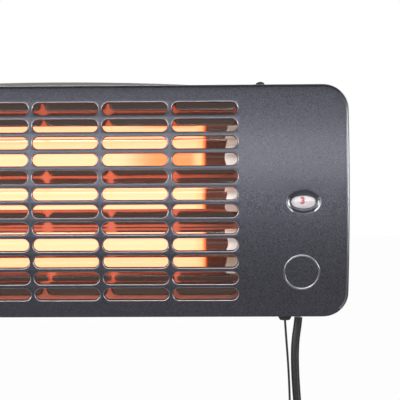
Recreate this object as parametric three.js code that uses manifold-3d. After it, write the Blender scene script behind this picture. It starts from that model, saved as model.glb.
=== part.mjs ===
// A wall-mounted infrared heater with three quartz tubes behind an arched, slotted steel front.
// Millimetres. +X right, +Z up, the front faces -Y. The wall is the plane Y = 0, and the origin is
// the middle of the wall bracket's back face. Z = 0 is the height of the middle tube.
import * as THREE from 'three';
import { mergeVertices } from 'three/addons/utils/BufferGeometryUtils.js';
import Module from 'manifold-3d';

const wasm = await Module();
wasm.setup();

// ---- driving dimensions ----
const fit = 0.3; // gap between pieces that touch
const heaterWidth = 500;
const heaterHeight = 186.6;
const heaterDepth = 80; // from the middle of the front to the back of the housing
const wallGap = 28; // from the back of the housing to the wall

const archRadius = 333;
const coverWall = 1.2;
const coverCorner = 20;
const coverEdge = 4;
const coverFlangeDepth = 36;
const cornerAngles = [0, 27, 43, 59, 75, 90]; // where the corners' facets meet, in degrees
const edgeFacets = 4;

const slotRows = 12;
const slotColumns = 7;
const slotRowPitch = 13.6;
const slotMargin = 25.7; // from the left end to the field of slots
const controlWidth = 86.5; // from the field of slots to the right end
const slotBar = 3.5; // between the slots of one row
const slotHeight = 10;
const slotEndFacets = 4;
const slotRim = 0.75; // how far the pressed rim opens out at the front
const slotFieldRise = 0.5;

const housingWall = 1.2;
const housingRimDepth = 18;
const housingShoulderStart = 38;
const housingShoulderEnd = 62;
const shoulderHeight = 25; // how far the housing steps in above and below
const shoulderSide = 8; // and at its two ends
const housingRimCorner = 21;
const housingCorner = 12;
const ventCount = 12;
const ventPitch = 30;
const ventLength = 18;
const ventWidth = 5;

const tubePitch = 35;
const tubeDepth = 33;
const tubeRadius = 7;
const tubeWall = 1.2;
const tubeInset = 1.4; // from each end of the field of slots
const coilRadius = 4.4;
const coldEnd = 27.6; // from a tube's end to its coil
const tailRadius = 1.1;
const capRadius = 9.4;
const capCupLength = 11.2;
const capSocketDepth = 8;
const capNeckRadius = 7.2;
const capNeckLength = 8;
const tailReach = 5; // how far a coil's tail stands out of its cap

const reflectorDepth = 51;
const reflectorWall = 0.8;
const reflectorFlat = 41; // half height of the flat middle
const reflectorFirst = [51, 48.2]; // [half height, depth] of the bends above and below it
const reflectorSecond = [63, 41];
const reflectorLip = [87, 39];
const endPlateWall = 1;
const endPlateFront = 17; // depth of the end plates' front edge

const windowInset = 36.4; // from the right end
const windowZ = 0.3;
const windowHalfWidth = 9.8;
const windowHalfHeight = 5.3;
const recessHalfWidth = 12.6;
const recessHalfHeight = 8.8;
const recessDepth = 1.3;
const lensWall = 1;

const drumRadius = 13.6;
const drumWidth = 19;
const drumWall = 1.6;
const drumHub = 5;
const drumDepth = 19;
const shaftRadius = 3;
const ratchetTeeth = 8;
const ratchetRadius = 10;
const ratchetRoot = 8;
const ratchetThickness = 1.4;
const leverThickness = 3;
const leverReach = 14;
const leverRestAngle = 25; // degrees above level
const leverEye = 3.2;
const leverHub = 6.5;
const springCoilRadius = 5;
const springWire = 0.5;
const springTurns = 3;
const switchWidth = 15;
const switchHalf = 14;
const switchChamfer = 3;
const switchBracketWall = 1.2;
const switchBracketHalf = 16;
const switchBracketFront = 9; // depth of its front edge

const cordInset = 49.6; // from the right end
const cordDepth = 33;
const cordRadius = 0.9;
const bushingFlange = 5.6;
const bushingNeck = 4;
const bushingDrop = 5;
const bushingBore = 1.6;
const bushingRise = 6;

const screwInset = 69.7; // from each end
const screwDepth = 25;
const screwHeadRadius = 3.5;
const screwHeadHeight = 2.2;
const screwShankRadius = 1.5;
const screwLength = 9;

const leadRadius = 3.5;
const glandInset = 36; // from the right end
const glandSetback = 10; // from the back of the housing
const glandNeck = 6;
const glandFlange = 8;
const glandFlangeThickness = 2.5;
const glandTipRadius = 4.5;
const glandTipZ = -102;
const glandLip = 1.7; // how far its mouth narrows, so that the lead can swing under it
const swingGap = 0.8;
const glandRings = 4;
const hankTurns = 2; // side by side, in two layers
const hankTopZ = -220; // centre of the upper bend
const hankRun = 60;
const hankBend = 24.5;
const hankPitch = 7.2;
const tieWidth = 8;
const tieWall = 1.2;
const plugCordEnd = -335;
const plugRadius = 18.5;
const plugLength = 40;
const pinRadius = 2.4;
const pinLength = 19;
const pinSpacing = 19;

const bracketWall = 2;
const bracketWidth = 280;
const bracketTop = 100;
const bracketCrown = 4;
const bracketShoulder = 42; // height where the wide upper part begins
const bracketFoot = -62;
const bracketWaist = 232; // width across the two ears
const bracketCorner = 8;
const pivotY = -16;
const pivotZ = -38;
const pivotRound = 11;
const pivotBoltRadius = 3;
const earRoot = 16; // half height of an ear where it leaves the plate
const lugWall = 2;
const lugFlange = 18;
const lugHalf = 18;
const keyholeX = 95;
const keyholeZ = 72;
const keyholeRadius = 5;
const keyholeSlot = 2.4;
const keyholeRise = 9;

const wireRadius = 1.3;
const blockZ = -44; // terminal block
const [blockWidth, blockDepth, blockHeight] = [26, 12, 14];
const [blockStepWidth, blockStepDepth, blockStepHeight] = [18, 9, 9];
const cutoutX = 60;
const [cutoutRadius, cutoutFlange, cutoutHeight] = [7, 9, 8];
const earthInset = 70; // from the right end
const earthZ = -50;
const [earthHead, earthShank, earthLength] = [3.8, 2, 7];
const linkOverhang = 4;
const loomZ = -49; // height of the wires that run along behind the reflector
const boltAcross = 6.2; // corner radius of the bolts' heads and nuts
const [boltLength, boltHead, nutLength] = [14, 4, 5];
const [knobRadius, knobLength] = [7.6, 24];

// ---- places worked out from them ----
const front = -(wallGap + heaterDepth);
const archCentreY = front + archRadius;
const at = (depth) => front + depth; // a depth behind the front, as Y
const tubeY = at(tubeDepth);
const slotFieldWidth = heaterWidth - slotMargin - controlWidth;
const slotFieldX = (slotMargin - controlWidth) / 2;
const slotColumnPitch = slotFieldWidth / slotColumns;
const slotLength = slotColumnPitch - slotBar;
const tubeX = slotFieldX;
const tubeLength = slotFieldWidth - 2 * tubeInset;
const coilLength = tubeLength - 2 * coldEnd;
const tubeEnd = tubeLength / 2; // from the middle of the tube
const rightEnd = heaterWidth / 2;
const windowX = rightEnd - windowInset;
const cordX = rightEnd - cordInset;
const screwX = rightEnd - screwInset;
const glandX = rightEnd - glandInset;
const capFace = tubeEnd - capSocketDepth + fit;
const plateFace = capFace + capCupLength + fit;
const drumY = at(drumDepth);
const shaftZ = windowZ;
const cordY = at(cordDepth);
const glandY = -(wallGap + glandSetback);
const rimWidth = heaterWidth - 2 * (coverWall + fit);
const rimHeight = heaterHeight - 2 * (coverWall + fit);
const rearWidth = rimWidth - 2 * shoulderSide;
const rearHeight = rimHeight - 2 * shoulderHeight;
const housingBack = -wallGap;
const housingInside = housingBack - housingWall;
const tubeHeights = { top: tubePitch, middle: 0, bottom: -tubePitch };
const radians = THREE.MathUtils.degToRad;

// ---- finishes ----
const finish = (color, roughness, metalness) => new THREE.MeshStandardMaterial({ color, roughness, metalness });
const greyPaint = finish('#5d6069', 0.42, 0.55);
const bracketPaint = finish('#797671', 0.5, 0.5);
const galvanised = finish('#9c9f9f', 0.4, 0.9);
const polished = finish('#d9dadb', 0.08, 1);
const quartz = finish('#f3efe9', 0.05, 0);
const glowing = finish('#ff9a3a', 0.5, 0);
const ceramic = finish('#ece6dd', 0.55, 0);
const whitePlastic = finish('#efeeec', 0.35, 0);
const blackPlastic = finish('#1b1b1c', 0.45, 0);
const clearPlastic = finish('#e8ecee', 0.1, 0);
const brass = finish('#c2a25a', 0.3, 1);
const springSteel = finish('#8d9092', 0.3, 1);
const leadRubber = finish('#141415', 0.5, 0);

const heater = new THREE.Group();

function piece(name, geometry, material) {
  const mesh = new THREE.Mesh(geometry, material);
  mesh.name = name;
  heater.add(mesh);
  return mesh;
}

// ---- solids and booleans ----
function solid(geometry) {
  const bare = geometry.index ? geometry.toNonIndexed() : geometry.clone();
  bare.deleteAttribute('normal');
  bare.deleteAttribute('uv');
  const merged = mergeVertices(bare, 1e-4);
  return new wasm.Manifold(new wasm.Mesh({
    numProp: 3,
    vertProperties: merged.attributes.position.array,
    triVerts: new Uint32Array(merged.index.array),
  }));
}

function meshed(manifold) {
  const mesh = manifold.getMesh();
  const geometry = new THREE.BufferGeometry();
  geometry.setAttribute('position', new THREE.BufferAttribute(mesh.vertProperties, 3));
  geometry.setIndex(new THREE.BufferAttribute(mesh.triVerts, 1));
  return geometry;
}

const cutFrom = (body, cutters) => cutters.reduce((left, cutter) => left.subtract(solid(cutter)), body);
const joined = (geometries) => geometries.slice(1).reduce((sum, g) => sum.add(solid(g)), solid(geometries[0]));

// ---- outlines ----
function roundedRectangle(width, height, radius) {
  const [x, y] = [width / 2, height / 2];
  const shape = new THREE.Shape();
  shape.moveTo(x, -y + radius);
  shape.lineTo(x, y - radius);
  shape.absarc(x - radius, y - radius, radius, 0, Math.PI / 2, false);
  shape.lineTo(-x + radius, y);
  shape.absarc(-x + radius, y - radius, radius, Math.PI / 2, Math.PI, false);
  shape.lineTo(-x, -y + radius);
  shape.absarc(-x + radius, -y + radius, radius, Math.PI, 1.5 * Math.PI, false);
  shape.lineTo(x - radius, -y);
  shape.absarc(x - radius, -y + radius, radius, 1.5 * Math.PI, 2 * Math.PI, false);
  return shape;
}

// A bar outline with half-round ends.
function roundEnded(length, height, segments) {
  const [radius, straight] = [height / 2, (length - height) / 2];
  const points = [];
  for (const end of [1, -1]) {
    for (let i = 0; i <= segments; i += 1) {
      const angle = (i / segments - 0.5) * Math.PI;
      points.push([end * (straight + radius * Math.cos(angle)), end * radius * Math.sin(angle)]);
    }
  }
  return polygon(points);
}

function ellipse(halfWidth, halfHeight) {
  const shape = new THREE.Shape();
  shape.absellipse(0, 0, halfWidth, halfHeight, 0, 2 * Math.PI, false);
  return shape;
}

const polygon = (points) => new THREE.Shape(points.map(([x, y]) => new THREE.Vector2(x, y)));

function circleHole(shape, x, y, radius) {
  const hole = new THREE.Path();
  hole.absarc(x, y, radius, 0, 2 * Math.PI, true);
  shape.holes.push(hole);
  return shape;
}

// ---- ways of giving an outline its thickness ----
// An upright plate: the outline lies in X and Z, and the thickness runs back from yFront.
function upright(shape, yFront, thickness, curveSegments = 4) {
  const geometry = new THREE.ExtrudeGeometry(shape, { depth: thickness, bevelEnabled: false, curveSegments });
  return geometry.rotateX(Math.PI / 2).translate(0, yFront + thickness, 0);
}

// A bar along X: the outline lies in Y and Z.
function alongX(shape, xStart, length, curveSegments = 4) {
  const geometry = new THREE.ExtrudeGeometry(shape, { depth: length, bevelEnabled: false, curveSegments });
  const basis = new THREE.Matrix4().makeBasis(
    new THREE.Vector3(0, 1, 0), new THREE.Vector3(0, 0, 1), new THREE.Vector3(1, 0, 0));
  return geometry.applyMatrix4(basis).translate(xStart, 0, 0);
}

// A turned piece: the profile holds [radius, distance along the axis].
function turned(profile, axis, segments = 16) {
  const geometry = new THREE.LatheGeometry(profile.map(([r, a]) => new THREE.Vector2(r, a)), segments);
  if (axis === 'x') geometry.rotateZ(-Math.PI / 2);
  if (axis === 'z') geometry.rotateX(Math.PI / 2);
  return geometry;
}

function rod(radius, from, to, axis, segments = 16) {
  return turned([[0, from], [radius, from], [radius, to], [0, to]], axis, segments);
}

function hexagon(acrossCorners, from, to) {
  const geometry = new THREE.CylinderGeometry(acrossCorners, acrossCorners, to - from, 6);
  return geometry.rotateZ(-Math.PI / 2).translate((from + to) / 2, 0, 0);
}

// A round wire or cord along a smooth curve through hand-set points.
function wireAlong(points, radius, steps, sides = 8) {
  const curve = new THREE.CatmullRomCurve3(points.map((p) => new THREE.Vector3(...p)), false, 'centripetal');
  const section = new THREE.Shape();
  section.absarc(0, 0, radius, 0, 2 * Math.PI, false);
  return new THREE.ExtrudeGeometry(section, { extrudePath: curve, steps, curveSegments: sides / 2 });
}

// Rings of equal point count, one behind another, closed by their end faces.
function lofted(sections) {
  const points = sections.map(({ width, height, radius, y }) =>
    roundedRectangle(width, height, radius).extractPoints(3).shape.map((p) => new THREE.Vector3(p.x, y, p.y)));
  const count = points[0].length;
  const positions = points.flat().flatMap((p) => [p.x, p.y, p.z]);
  const triangles = [];
  for (let ring = 0; ring < points.length - 1; ring += 1) {
    for (let i = 0; i < count; i += 1) {
      const [a, b] = [ring * count + i, ring * count + ((i + 1) % count)];
      triangles.push(a, b + count, b, a, a + count, b + count);
    }
  }
  const cap = THREE.ShapeUtils.triangulateShape(points[0].map((p) => new THREE.Vector2(p.x, p.z)), []);
  const last = (points.length - 1) * count;
  cap.forEach(([a, b, c]) => triangles.push(a, b, c, last + c, last + b, last + a));
  const geometry = new THREE.BufferGeometry();
  geometry.setAttribute('position', new THREE.BufferAttribute(new Float32Array(positions), 3));
  geometry.setIndex(triangles);
  return geometry;
}

// ---- the arched front ----
const archY = (z, inset = 0) => archCentreY - Math.sqrt((archRadius - inset) ** 2 - z ** 2);
const rowAngle = (row) => (((slotRows - 1) / 2 - row) * slotRowPitch + slotFieldRise) / archRadius;

// Heights between the slot rows, where the arch's flat facets meet.
function facetHeights(limit) {
  const heights = [];
  for (let row = slotRows - 1.5; row > 0; row -= 1) heights.push(archRadius * Math.sin(rowAngle(row)));
  return heights.filter((z) => Math.abs(z) < limit);
}

// The block under the arch, shrunk all round by inset: rings of points from the back edge round the
// rounded front edge, closed by strips that run from one side to the other.
function archedBlock(inset, yBack) {
  const corner = coverCorner - inset;
  const edge = coverEdge - inset;
  const [cornerX, cornerZ] = [heaterWidth / 2 - coverCorner, heaterHeight / 2 - coverCorner];
  const turn = cornerAngles.map((angle) => ({ z: cornerZ, angle: radians(angle) }));
  const levels = [
    ...turn.map(({ z, angle }) => ({ z: -z, angle: -angle })).reverse(),
    ...facetHeights(cornerZ).map((z) => ({ z, angle: 0 })),
    ...turn];
  const steps = [[0, null], [0, edge]];
  for (let i = 1; i <= edgeFacets; i += 1) {
    const angle = (i / edgeFacets) * (Math.PI / 2);
    steps.push([edge - edge * Math.cos(angle), edge - edge * Math.sin(angle)]);
  }
  const positions = [];
  for (const [back, depth] of steps) {
    const right = levels.map(({ z, angle }) => {
      const height = z + (corner - back) * Math.sin(angle);
      const y = depth === null ? yBack : archY(height, inset) + depth;
      return [cornerX + (corner - back) * Math.cos(angle), y, height];
    });
    const left = right.map(([x, y, z]) => [-x, y, z]).reverse();
    positions.push(...right.flat(), ...left.flat());
  }
  const [count, last] = [2 * levels.length, steps.length - 1];
  const triangles = [];
  for (let ring = 0; ring < last; ring += 1) {
    for (let i = 0; i < count; i += 1) {
      const [c, d] = [ring * count + i, ring * count + ((i + 1) % count)];
      triangles.push(c, d, c + count, d, d + count, c + count);
    }
  }
  for (let i = 0; i < levels.length - 1; i += 1) {
    const [j, top] = [count - 1 - i, last * count];
    triangles.push(i, j, i + 1, i + 1, j, j - 1);
    triangles.push(top + i, top + i + 1, top + j, top + i + 1, top + j - 1, top + j);
  }
  const geometry = new THREE.BufferGeometry();
  geometry.setAttribute('position', new THREE.BufferAttribute(new Float32Array(positions), 3));
  geometry.setIndex(triangles);
  return solid(geometry);
}

// Stands a piece made at the front's middle out along the arch, square to it.
function ontoArch(geometry, x, angle) {
  return geometry.rotateX(-angle)
    .translate(x, archCentreY - archRadius * Math.cos(angle), archRadius * Math.sin(angle));
}

// One slot's cutter, wider at the front where the rim is pressed in.
function slotCutter() {
  const depth = 2 * coverWall;
  const geometry = upright(roundEnded(slotLength, slotHeight, slotEndFacets), -coverWall / 2, depth);
  const position = geometry.attributes.position;
  const straight = (slotLength - slotHeight) / 2;
  const opened = 1 + (2 * slotRim) / slotHeight;
  for (let i = 0; i < position.count; i += 1) {
    if (position.getY(i) < 0) {
      const centre = THREE.MathUtils.clamp(position.getX(i), -straight, straight);
      position.setX(i, centre + opened * (position.getX(i) - centre));
      position.setZ(i, opened * position.getZ(i));
    }
  }
  return geometry;
}

function frontCover() {
  const back = at(coverFlangeDepth);
  let cover = archedBlock(0, back).subtract(archedBlock(coverWall, back + coverWall));
  const padDepth = coverWall + recessDepth;
  const pad = upright(ellipse(recessHalfWidth + 2, recessHalfHeight + 2), front + coverWall / 2, padDepth, 10);
  cover = cover.add(solid(pad.translate(windowX, 0, windowZ)));
  const cutters = [];
  for (let row = 0; row < slotRows; row += 1) {
    for (let column = 0; column < slotColumns; column += 1) {
      const x = slotFieldX + (column - (slotColumns - 1) / 2) * slotColumnPitch;
      cutters.push(ontoArch(slotCutter(), x, rowAngle(row)));
    }
  }
  const recess = upright(ellipse(recessHalfWidth, recessHalfHeight), front - 1, 1 + recessDepth, 10);
  const opening = upright(ellipse(windowHalfWidth + fit, windowHalfHeight + fit), front, 2 * padDepth, 10);
  cutters.push(recess.translate(windowX, 0, windowZ), opening.translate(windowX, 0, windowZ));
  const reach = heaterHeight / 2 + coverWall;
  cutters.push(rod(bushingNeck + fit, -reach, -reach + 4 * coverWall, 'z').translate(cordX, cordY, 0));
  for (const side of [-1, 1]) {
    const hole = rod(screwShankRadius + fit, reach - 4 * coverWall, reach, 'z', 10);
    cutters.push(hole.translate(side * screwX, at(screwDepth), 0));
  }
  return meshed(cutFrom(cover, cutters));
}

// ---- rear housing: a pressed tray that steps in behind the cover ----
function trayBlock(inset, yFront) {
  const sections = [
    [rimWidth, rimHeight, housingRimCorner, yFront],
    [rimWidth, rimHeight, housingRimCorner, at(housingShoulderStart)],
    [rearWidth, rearHeight, housingCorner, at(housingShoulderEnd)],
    [rearWidth, rearHeight, housingCorner, housingBack - inset],
  ].map(([width, height, radius, y]) =>
    ({ width: width - 2 * inset, height: height - 2 * inset, radius: radius - inset, y }));
  return solid(lofted(sections));
}

function rearHousing() {
  const rim = at(housingRimDepth);
  const shell = trayBlock(0, rim).subtract(trayBlock(housingWall, rim - 1));
  const cutters = [];
  const wallReach = rearHeight / 2;
  for (const side of [-1, 1]) {
    for (let i = 0; i < ventCount; i += 1) {
      const x = slotFieldX + (i - (ventCount - 1) / 2) * ventPitch;
      const vent = new THREE.BoxGeometry(ventLength, ventWidth, 4 * housingWall);
      cutters.push(vent.translate(x, (at(housingShoulderEnd) + housingBack) / 2, side * wallReach));
    }
    const hole = rod(screwShankRadius + fit, rimHeight / 2 - 2 * housingWall, rimHeight / 2 + 1, 'z', 10);
    cutters.push(hole.translate(side * screwX, at(screwDepth), 0));
  }
  cutters.push(rod(bushingNeck + fit, -rimHeight / 2 - 1, -rimHeight / 2 + 2 * housingWall, 'z').translate(cordX, cordY, 0));
  cutters.push(rod(glandNeck + fit, -wallReach - 1, -wallReach + 2 * housingWall, 'z').translate(glandX, glandY, 0));
  return meshed(cutFrom(shell, cutters));
}

// ---- reflector: one sheet bent along its length, and the two plates that close its ends ----
const reflectorLine = [
  [at(reflectorLip[1]), reflectorLip[0]],
  [at(reflectorSecond[1]), reflectorSecond[0]],
  [at(reflectorFirst[1]), reflectorFirst[0]],
  [at(reflectorDepth), reflectorFlat],
  [at(reflectorDepth), -reflectorFlat],
  [at(reflectorFirst[1]), -reflectorFirst[0]],
  [at(reflectorSecond[1]), -reflectorSecond[0]],
  [at(reflectorLip[1]), -reflectorLip[0]],
];

function reflector() {
  const back = [...reflectorLine].reverse().map(([y, z]) => [y + reflectorWall, z]);
  const length = 2 * (plateFace - fit);
  return alongX(polygon([...back, ...reflectorLine]), tubeX - length / 2, length);
}

function endPlate() {
  const half = reflectorLip[0];
  const back = reflectorLine.map(([y, z]) => [y + reflectorWall, z]);
  const outline = polygon([[at(endPlateFront), -half], [at(endPlateFront), half], ...back]);
  const holes = Object.values(tubeHeights).map((z) =>
    rod(capNeckRadius + fit, -endPlateWall, 2 * endPlateWall, 'x', 14).translate(0, tubeY, z));
  return meshed(cutFrom(solid(alongX(outline, 0, endPlateWall)), holes));
}

// ---- tubes, coils and caps ----
function quartzTube() {
  const bore = tubeRadius - tubeWall;
  return turned([
    [bore, -tubeEnd], [tubeRadius, -tubeEnd], [tubeRadius, tubeEnd], [bore, tubeEnd], [bore, -tubeEnd]], 'x', 14);
}

function heatingCoil() {
  const end = coilLength / 2;
  const tip = plateFace + capNeckLength + tailReach;
  return turned([
    [0, -tip], [tailRadius, -tip], [tailRadius, -end - 2], [coilRadius, -end], [coilRadius, end],
    [tailRadius, end + 2], [tailRadius, tip], [0, tip]], 'x', 10);
}

function endCap() {
  const socket = tubeRadius + fit;
  const bore = tailRadius + fit;
  const foot = capFace + capSocketDepth;
  const step = capFace + capCupLength;
  const tip = plateFace + capNeckLength;
  return turned([
    [socket, capFace], [capRadius - 0.8, capFace], [capRadius, capFace + 0.8], [capRadius, step],
    [capNeckRadius, step], [capNeckRadius, tip], [bore, tip], [bore, foot], [socket, foot],
    [socket, capFace]], 'x', 14);
}

// ---- number drum, ratchet, lever and switch ----
function numberDrum() {
  const half = drumWidth / 2;
  const bore = shaftRadius + fit;
  return turned([
    [bore, -half], [drumHub, -half], [drumHub, -1], [drumRadius - drumWall, -1], [drumRadius - drumWall, -half],
    [drumRadius, -half], [drumRadius, half], [drumRadius - drumWall, half], [drumRadius - drumWall, 1],
    [drumHub, 1], [drumHub, half], [bore, half], [bore, -half]], 'x', 20);
}

function ratchetWheel() {
  const points = [];
  for (let tooth = 0; tooth < ratchetTeeth; tooth += 1) {
    const start = (tooth / ratchetTeeth) * 2 * Math.PI;
    points.push([ratchetRoot * Math.cos(start), ratchetRoot * Math.sin(start)]);
    points.push([ratchetRadius * Math.cos(start), ratchetRadius * Math.sin(start)]);
  }
  return alongX(circleHole(polygon(points), 0, 0, shaftRadius + fit), 0, ratchetThickness);
}

function pullLever() {
  const rest = radians(leverRestAngle);
  const arm = new THREE.Shape();
  arm.absarc(0, 0, leverHub, Math.PI / 2, 1.5 * Math.PI, false);
  arm.lineTo(leverReach, -leverEye);
  arm.absarc(leverReach, 0, leverEye, -Math.PI / 2, Math.PI / 2, false);
  circleHole(arm, 0, 0, shaftRadius + fit);
  circleHole(arm, leverReach, 0, cordRadius + fit);
  const plate = alongX(arm, 0, leverThickness);
  const pawl = new THREE.BoxGeometry(ratchetThickness + leverThickness, 2.4, 4);
  pawl.translate((ratchetThickness + leverThickness) / 2, ratchetRadius + fit + 1.2, 0);
  return meshed(joined([plate, pawl])).rotateX(rest);
}

function leverSpring() {
  const points = [];
  const steps = springTurns * 8;
  for (let i = 0; i <= steps; i += 1) {
    const angle = (i / steps) * springTurns * 2 * Math.PI;
    points.push([(i / steps) * springTurns * 2.6 * springWire, springCoilRadius * Math.cos(angle), springCoilRadius * Math.sin(angle)]);
  }
  return wireAlong(points, springWire, steps, 6);
}

function switchBody() {
  const outline = roundedRectangle(2 * switchHalf, 2 * switchHalf, switchChamfer);
  const block = solid(alongX(outline, 0, switchWidth, 3));
  const bore = rod(shaftRadius + fit, -1, switchWidth / 2, 'x', 16);
  const groove = new THREE.BoxGeometry(switchWidth / 3, 2 * switchHalf + 2, 2).translate(switchWidth, 0, 0);
  return meshed(cutFrom(block, [bore, groove]));
}

function switchBracket(inner) {
  const back = housingInside - fit;
  const outline = polygon([
    [0, back], [0, at(switchBracketFront)], [switchBracketWall, at(switchBracketFront)],
    [switchBracketWall, back - switchBracketWall], [inner + switchBracketWall, back - switchBracketWall],
    [inner + switchBracketWall, at(switchBracketFront)], [inner + 2 * switchBracketWall, at(switchBracketFront)],
    [inner + 2 * switchBracketWall, back]]);
  const channel = new THREE.ExtrudeGeometry(outline, { depth: 2 * switchBracketHalf, bevelEnabled: false });
  channel.translate(0, 0, -switchBracketHalf);
  const bore = rod(shaftRadius + fit, -1, inner + 3 * switchBracketWall, 'x').translate(0, drumY, shaftZ);
  return meshed(cutFrom(solid(channel), [bore]));
}

// ---- fixings ----
function coverScrew() {
  const seat = heaterHeight / 2 + fit;
  const profile = [[0, seat - screwLength], [screwShankRadius, seat - screwLength], [screwShankRadius, seat]];
  for (let i = 0; i <= 3; i += 1) {
    const angle = (i / 3) * (Math.PI / 2);
    profile.push([screwHeadRadius * Math.cos(angle), seat + 0.6 + (screwHeadHeight - 0.6) * Math.sin(angle)]);
  }
  profile.splice(3, 0, [screwHeadRadius, seat]);
  profile[profile.length - 1][0] = 0;
  return turned(profile, 'z', 16);
}

function cordBushing() {
  const seat = -heaterHeight / 2 - fit;
  const inside = -rimHeight / 2 + housingWall;
  return turned([
    [bushingBore, seat - bushingDrop + 0.5], [bushingBore + 1, seat - bushingDrop], [bushingFlange - 1.4, seat - bushingDrop],
    [bushingFlange - 0.3, seat - 0.6 * bushingDrop], [bushingFlange, seat - 1], [bushingFlange, seat], [bushingNeck, seat],
    [bushingNeck, inside + bushingRise], [bushingBore, inside + bushingRise],
    [bushingBore, seat - bushingDrop + 0.5]], 'z', 20);
}

function pivotLug() {
  const arm = new THREE.Shape();
  const back = housingBack + fit;
  arm.moveTo(back, pivotZ - lugHalf);
  arm.lineTo(pivotY, pivotZ - pivotRound);
  arm.absarc(pivotY, pivotZ, pivotRound, -Math.PI / 2, Math.PI / 2, false);
  arm.lineTo(back, pivotZ + lugHalf);
  circleHole(arm, pivotY, pivotZ, pivotBoltRadius + fit);
  const flange = new THREE.BoxGeometry(lugFlange, lugWall, 2 * lugHalf);
  flange.translate(lugFlange / 2, back + lugWall / 2, pivotZ);
  return meshed(joined([alongX(arm, 0, lugWall), flange]));
}

function wallBracket() {
  const plate = new THREE.Shape();
  const [wide, narrow, side] = [bracketWidth / 2, bracketWaist / 2, bracketTop - bracketCrown];
  const crownRadius = (wide ** 2 + bracketCrown ** 2) / (2 * bracketCrown);
  const crownAngle = Math.asin((wide - bracketCorner) / crownRadius);
  plate.moveTo(-narrow, bracketFoot);
  plate.lineTo(narrow, bracketFoot);
  plate.lineTo(narrow, bracketShoulder - bracketCorner);
  plate.lineTo(wide - bracketCorner, bracketShoulder);
  plate.lineTo(wide, bracketShoulder + bracketCorner);
  plate.lineTo(wide, side - bracketCorner);
  plate.lineTo(wide - 0.3 * bracketCorner, side - 0.3 * bracketCorner);
  plate.absarc(0, bracketTop - crownRadius, crownRadius, Math.PI / 2 - crownAngle, Math.PI / 2 + crownAngle, false);
  plate.lineTo(-wide + 0.3 * bracketCorner, side - 0.3 * bracketCorner);
  plate.lineTo(-wide, side - bracketCorner);
  plate.lineTo(-wide, bracketShoulder + bracketCorner);
  plate.lineTo(-wide + bracketCorner, bracketShoulder);
  plate.lineTo(-narrow, bracketShoulder - bracketCorner);
  for (const x of [-keyholeX, keyholeX]) {
    const keyhole = new THREE.Path();
    const open = Math.asin(keyholeSlot / keyholeRadius);
    keyhole.absarc(x, keyholeZ, keyholeRadius, Math.PI / 2 - open, Math.PI / 2 + open, true);
    keyhole.lineTo(x - keyholeSlot, keyholeZ + keyholeRise);
    keyhole.absarc(x, keyholeZ + keyholeRise, keyholeSlot, Math.PI, 0, true);
    plate.holes.push(keyhole);
    circleHole(plate, x, bracketFoot + 2 * bracketCorner, keyholeSlot);
  }
  const bodies = [upright(plate, -bracketWall, bracketWall, 6)];
  for (const x of [-narrow, narrow - bracketWall]) {
    const ear = new THREE.Shape();
    ear.moveTo(0, pivotZ + earRoot);
    ear.lineTo(pivotY, pivotZ + pivotRound);
    ear.absarc(pivotY, pivotZ, pivotRound, Math.PI / 2, 1.5 * Math.PI, false);
    ear.lineTo(0, pivotZ - earRoot);
    circleHole(ear, pivotY, pivotZ, pivotBoltRadius + fit);
    bodies.push(alongX(ear, x, bracketWall));
  }
  return meshed(joined(bodies));
}

// ---- lead, hank and plug ----
const hankOuter = hankBend + (hankTurns - 1) * hankPitch + leadRadius + 0.2;
const hankInner = hankBend - leadRadius - 0.2;
const hankX = glandX - hankBend - (hankTurns - 1) * hankPitch;
const hankHalfDepth = hankPitch / 2 + leadRadius + 0.2;
const hankFootZ = hankTopZ - hankRun;
const plugX = hankX + hankBend + (hankTurns - 1) * hankPitch;
const runInside = hankBend + (hankTurns - 1) * hankPitch - leadRadius;
const runClear = Math.sqrt(hankOuter ** 2 - runInside ** 2) + fit;

function cableGland() {
  const wall = -rearHeight / 2;
  const seat = wall - fit;
  const inside = wall + housingWall + fit;
  const profile = [
    [0, inside + glandFlangeThickness], [glandFlange, inside + glandFlangeThickness], [glandFlange, inside],
    [glandNeck, inside], [glandNeck, seat], [glandFlange, seat], [glandFlange, seat - glandFlangeThickness]];
  const start = seat - glandFlangeThickness;
  const ringStep = (start - glandTipZ) / (glandRings + 1);
  for (let i = 0; i <= glandRings; i += 1) {
    const z = start - i * ringStep;
    const radius = THREE.MathUtils.lerp(glandNeck, glandTipRadius, i / glandRings);
    profile.push([radius, z], [radius - 0.2, z - 0.6 * ringStep], [radius - 1, z - 0.6 * ringStep], [radius - 1, z - ringStep]);
  }
  profile[profile.length - 1] = [glandTipRadius - 1, glandTipZ + swingGap];
  profile.push([glandTipRadius - glandLip, glandTipZ], [0, glandTipZ]);
  return turned(profile.reverse(), 'z', 10).translate(glandX, glandY, 0);
}

// The free lead and the pull cord, as steps to the right of where they leave, and heights.
const leadRoute = [
  [0, glandTipZ - swingGap], [-0.4, -108], [-2.4, -121], [-3.1, -134], [-2.8, -150], [-1.7, -168], [-0.4, -184],
  [0, hankTopZ + runClear],
].map(([x, z]) => [glandX + x, glandY, z]);

const pullRoute = [
  [0.2, -99], [1.1, -114], [2.6, -134], [3.8, -158], [4.4, -190], [4.6, -250], [4.6, -325],
].map(([x, z]) => [cordX + x, cordY, z]);

function stadium(half, run) {
  const shape = new THREE.Shape();
  shape.absarc(0, 0, half, 0, Math.PI, false);
  shape.absarc(0, -run, half, Math.PI, 2 * Math.PI, false);
  return shape;
}

function cableHank() {
  const outline = stadium(hankOuter, hankRun);
  const gap = new THREE.Path();
  gap.absarc(0, -hankRun, hankInner, 0, Math.PI, true);
  gap.absarc(0, 0, hankInner, Math.PI, 0, true);
  outline.holes.push(gap);
  return upright(outline, -hankHalfDepth, 2 * hankHalfDepth, 8).translate(hankX, glandY, hankTopZ);
}

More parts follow.
